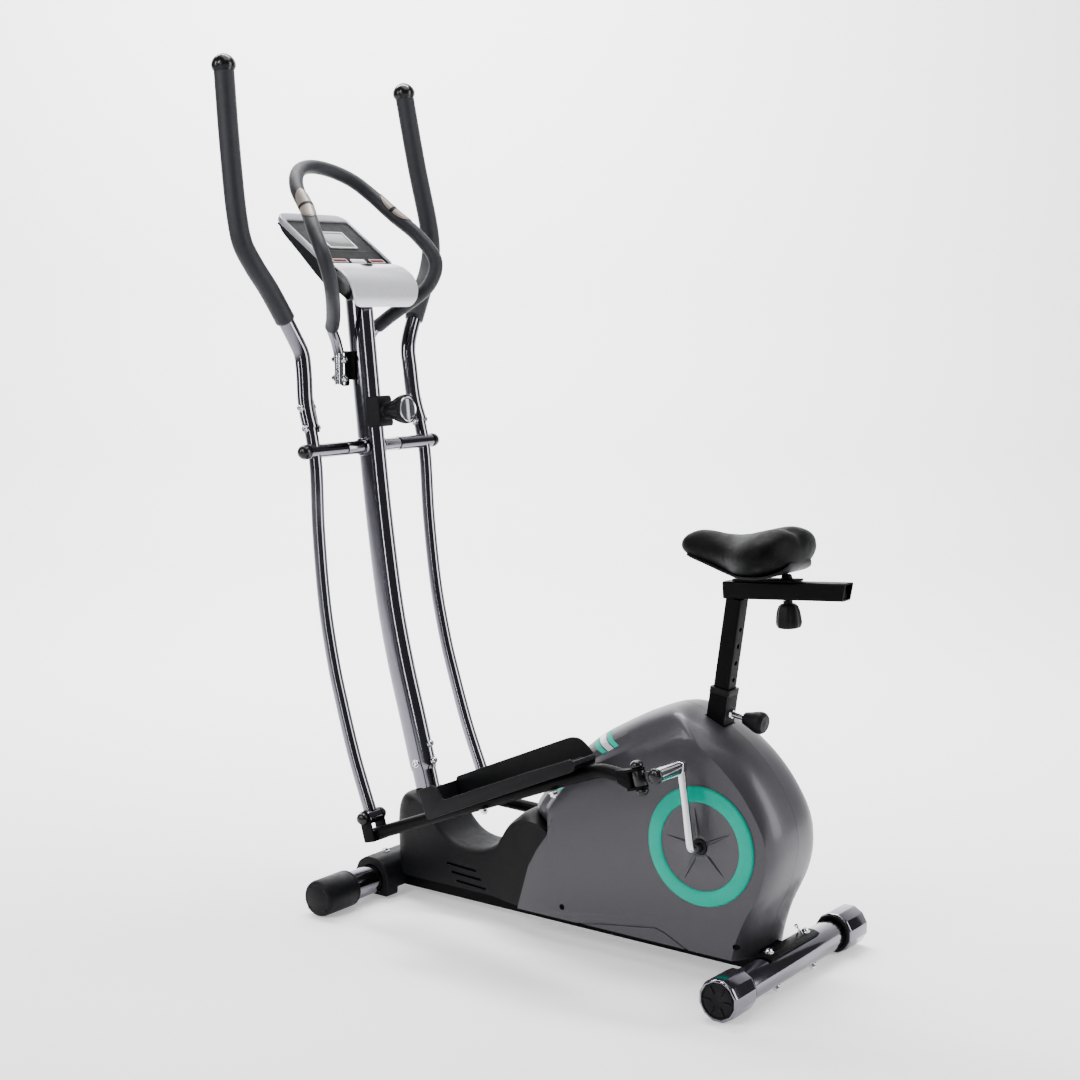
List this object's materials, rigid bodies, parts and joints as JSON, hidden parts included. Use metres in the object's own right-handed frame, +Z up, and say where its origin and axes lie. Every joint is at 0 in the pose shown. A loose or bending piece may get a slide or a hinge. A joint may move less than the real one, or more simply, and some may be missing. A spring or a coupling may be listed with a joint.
{
  "type": "elliptical trainer",
  "caption": "Elliptical exercise trainer with swing arms, pedal footplates, a belt-driven flywheel in a low housing, a console and an adjustable saddle.",
  "frame": {"origin": "on the floor, under the middle of the machine's overall box", "axes": "+Z up, +X from the console (front) to the saddle (rear), +Y to the rider's right"},
  "size_m": [1.2026, 0.6022, 1.6087],
  "materials": {
    "black_chrome": "smoke-dark polished plating",
    "black_paint": "semi-gloss black powder coat",
    "chrome": "bright polished plating",
    "black_plastic": "fine-grained moulded black",
    "grey_plastic": "satin metallic grey",
    "teal_plastic": "smooth teal",
    "silver_plastic": "satin silver lacquer",
    "foam": "soft closed-cell foam sleeve",
    "leatherette": "stretched black leatherette",
    "lens": "clear window over a grey display",
    "cast_iron": "machined grey iron",
    "belt_rubber": "ribbed black rubber"
  },
  "bodies": {
    "frame": {"main_frame": "black_paint", "main_post": "black_chrome", "front_stabiliser": "black_chrome", "rear_stabiliser": "black_chrome", "front_foot_cover": "black_plastic", "cross_shaft": "chrome", "tension_base": "black_plastic", "console_shell": "black_plastic", "console_trim": "silver_plastic", "console_face": "black_plastic", "lcd_lens": "lens", "handlebar_tube": "black_chrome", "handlebar_foam": "foam", "drive_belt": "belt_rubber", "housing_left": "grey_plastic", "housing_right": "grey_plastic", "front_shroud_left": "black_plastic", "front_shroud_right": "black_plastic", "side_ring_left": "teal_plastic", "side_ring_right": "teal_plastic", "shaft_cap_left": "black_plastic", "shaft_cap_right": "black_plastic", "pulse_sensor_left": "silver_plastic", "pulse_sensor_right": "silver_plastic"},
    "left_arm": {"lower_arm_left": "black_chrome", "upper_handle_left": "black_chrome", "foam_grip_left": "foam", "handle_cap_left": "black_plastic", "pivot_bolt_left": "black_plastic"},
    "left_link": {"link_left": "black_paint", "footplate_left": "black_plastic", "yoke_bolt_left": "black_plastic"},
    "left_yoke": {"yoke_left": "chrome"},
    "right_arm": {"lower_arm_right": "black_chrome", "upper_handle_right": "black_chrome", "foam_grip_right": "foam", "handle_cap_right": "black_plastic", "pivot_bolt_right": "black_plastic"},
    "right_link": {"link_right": "black_paint", "footplate_right": "black_plastic", "yoke_bolt_right": "black_plastic"},
    "right_yoke": {"yoke_right": "chrome"},
    "crank": {"crank_rod": "chrome", "drive_pulley": "black_plastic"},
    "flywheel": {"flywheel": "cast_iron"},
    "brake": {"magnet_bracket": "cast_iron"},
    "tension_knob": {"tension_knob": "black_plastic"},
    "button_left": {"button_left": "silver_plastic"},
    "button_right": {"button_right": "silver_plastic"},
    "button_centre": {"button_centre": "silver_plastic"},
    "seat_post": {"seat_post": "black_paint"},
    "saddle": {"saddle": "leatherette", "saddle_clamp": "black_paint"},
    "slide_knob": {"slide_knob": "black_plastic"},
    "height_knob": {"height_knob": "black_plastic"},
    "left_roller": {"front_roller_left": "black_plastic"},
    "left_leveller": {"rear_leveller_left": "black_plastic"},
    "right_roller": {"front_roller_right": "black_plastic"},
    "right_leveller": {"rear_leveller_right": "black_plastic"}
  },
  "joints": [
    {"name": "flywheel_spin", "type": "hinge", "parent": "frame", "child": "flywheel", "pos_m": [0.175, 0, 0.17], "axis": [0, 1, 0], "continuous": true},
    {"name": "crank_spin", "type": "hinge", "parent": "frame", "child": "crank", "pos_m": [0.373, 0, 0.236], "axis": [0, 1, 0], "continuous": true},
    {"name": "left_arm_swing", "type": "hinge", "parent": "frame", "child": "left_arm", "pos_m": [-0.443, 0, 0.877], "axis": [0, 1, 0], "range_deg": [-10, 10]},
    {"name": "left_link_pivot", "type": "hinge", "parent": "left_arm", "child": "left_link", "pos_m": [-0.31126, -0.16, 0.18951], "axis": [0, 1, 0], "range_deg": [-10, 10]},
    {"name": "left_yoke_swivel", "type": "hinge", "parent": "left_link", "child": "left_yoke", "pos_m": [0.31458, -0.188, 0.36873], "axis": [-0.2753, 0, 0.9614], "range_deg": [-1, 1]},
    {"name": "right_arm_swing", "type": "hinge", "parent": "frame", "child": "right_arm", "pos_m": [-0.443, 0, 0.877], "axis": [0, 1, 0], "range_deg": [-10, 10]},
    {"name": "right_link_pivot", "type": "hinge", "parent": "right_arm", "child": "right_link", "pos_m": [-0.28853, 0.16, 0.19426], "axis": [0, 1, 0], "range_deg": [-10, 10]},
    {"name": "right_yoke_swivel", "type": "hinge", "parent": "right_link", "child": "right_yoke", "pos_m": [0.35535, 0.188, 0.09826], "axis": [0.1475, 0, 0.9891], "range_deg": [-1, 1]},
    {"name": "tension_knob_turn", "type": "hinge", "parent": "frame", "child": "tension_knob", "pos_m": [-0.425, 0, 0.945], "axis": [0.9945, 0, 0.1045], "range_deg": [0, 300]},
    {"name": "brake_swing", "type": "hinge", "parent": "frame", "child": "brake", "pos_m": [0.06, 0, 0.14], "axis": [0, 1, 0], "range_deg": [-1.6, 0]},
    {"name": "button_left_press", "type": "slide", "parent": "frame", "child": "button_left", "axis": [-0.5821, 0, -0.8131], "range_m": [0, 0.0015], "stiffness_N_per_m": 300},
    {"name": "button_right_press", "type": "slide", "parent": "frame", "child": "button_right", "axis": [-0.5821, 0, -0.8131], "range_m": [0, 0.0015], "stiffness_N_per_m": 300},
    {"name": "button_centre_press", "type": "slide", "parent": "frame", "child": "button_centre", "axis": [-0.5821, 0, -0.8131], "range_m": [0, 0.0015], "stiffness_N_per_m": 300},
    {"name": "seat_height", "type": "slide", "parent": "frame", "child": "seat_post", "axis": [0.1392, 0, 0.9903], "range_m": [-0.1, 0.06]},
    {"name": "saddle_slide", "type": "slide", "parent": "seat_post", "child": "saddle", "axis": [0.9973, 0, 0.0732], "range_m": [-0.04, 0.03]},
    {"name": "slide_knob_turn", "type": "hinge", "parent": "saddle", "child": "slide_knob", "pos_m": [0.48468, 0, 0.67864], "axis": [-0.0732, 0, 0.9973], "range_deg": [0, 300]},
    {"name": "height_knob_pull", "type": "slide", "parent": "frame", "child": "height_knob", "axis": [0.9903, 0, -0.1392], "range_m": [0, 0.01], "stiffness_N_per_m": 600},
    {"name": "left_roller_spin", "type": "hinge", "parent": "frame", "child": "left_roller", "pos_m": [-0.376, -0.2, 0.035], "axis": [0, 1, 0], "continuous": true},
    {"name": "left_leveller_turn", "type": "hinge", "parent": "frame", "child": "left_leveller", "pos_m": [0.498, -0.2, 0.03622], "axis": [0, 1, 0], "range_deg": [-60, 60]},
    {"name": "right_roller_spin", "type": "hinge", "parent": "frame", "child": "right_roller", "pos_m": [-0.376, 0.2, 0.035], "axis": [0, 1, 0], "continuous": true},
    {"name": "right_leveller_turn", "type": "hinge", "parent": "frame", "child": "right_leveller", "pos_m": [0.498, 0.2, 0.03622], "axis": [0, 1, 0], "range_deg": [-60, 60]}
  ],
  "couplings": [
    {"joint": "crank_spin", "follows": "flywheel_spin", "ratio": 0.21739},
    {"joint": "right_arm_swing", "follows": "left_arm_swing", "ratio": -1},
    {"joint": "left_link_pivot", "follows": "left_arm_swing", "ratio": -1},
    {"joint": "right_link_pivot", "follows": "left_arm_swing", "ratio": 1},
    {"joint": "brake_swing", "follows": "tension_knob_turn", "ratio": -0.005}
  ]
}
